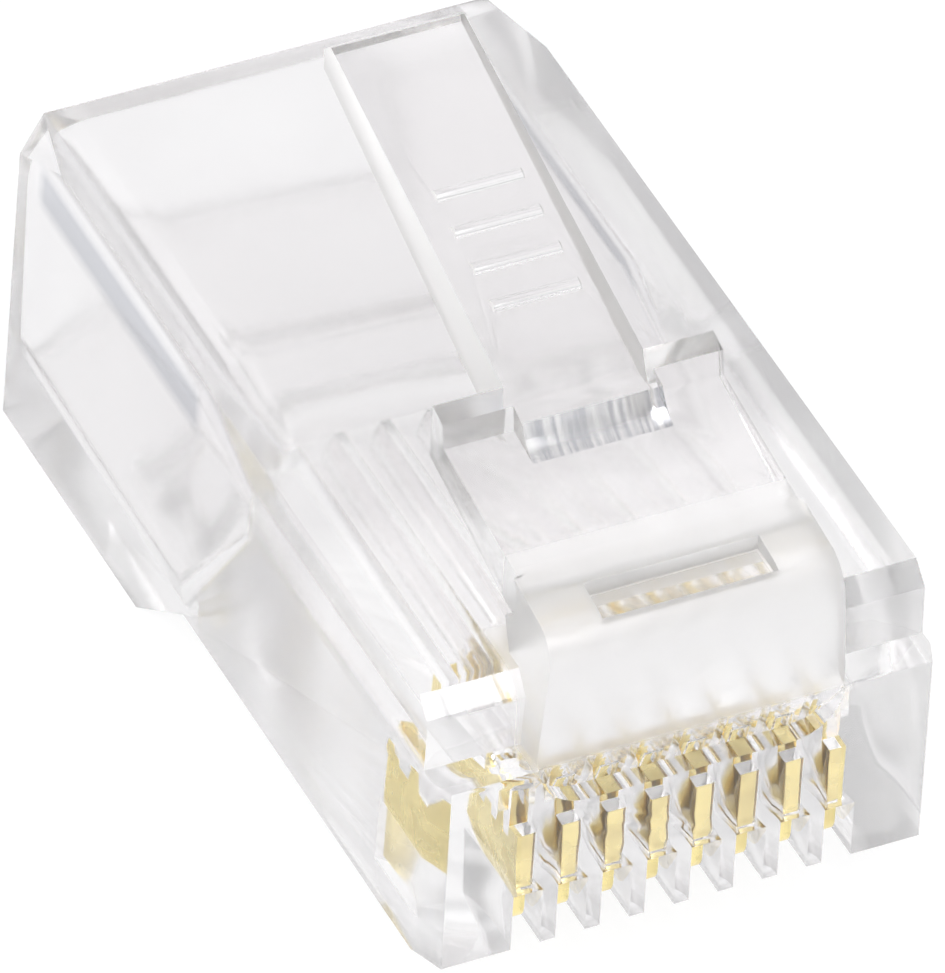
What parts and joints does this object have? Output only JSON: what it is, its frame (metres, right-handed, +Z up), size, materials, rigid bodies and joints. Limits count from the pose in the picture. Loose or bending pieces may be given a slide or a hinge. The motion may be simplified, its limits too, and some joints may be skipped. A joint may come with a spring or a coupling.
{
  "type": "modular plug",
  "caption": "Clear rectangular modular plug with a stepped body, gold contact blades in slots at the nose, a spring latch on top and an open cable entry at the rear.",
  "frame": {"origin": "middle of the rear underside's plane, under the middle of the plug's length and width", "axes": "+Z up through the latch, -Y out of the nose with the contacts, +Y out of the cable entry"},
  "size_m": [0.0116, 0.0212, 0.0134],
  "materials": {
    "clear_plastic": "clear, glossy",
    "gold_contact": "gold plated, satin"
  },
  "bodies": {
    "plug": {"housing": "clear_plastic", "contact_1": "gold_contact", "contact_2": "gold_contact", "contact_3": "gold_contact", "contact_4": "gold_contact", "contact_5": "gold_contact", "contact_6": "gold_contact", "contact_7": "gold_contact", "contact_8": "gold_contact"},
    "latch_arm": {"latch": "clear_plastic"}
  },
  "joints": [
    {"name": "latch_flex", "type": "hinge", "parent": "plug", "child": "latch_arm", "pos_m": [0, -0.00824, 0.00933], "axis": [-1, 0, 0], "range_deg": [0, 18], "stiffness_Nm_per_rad": 0.12}
  ]
}
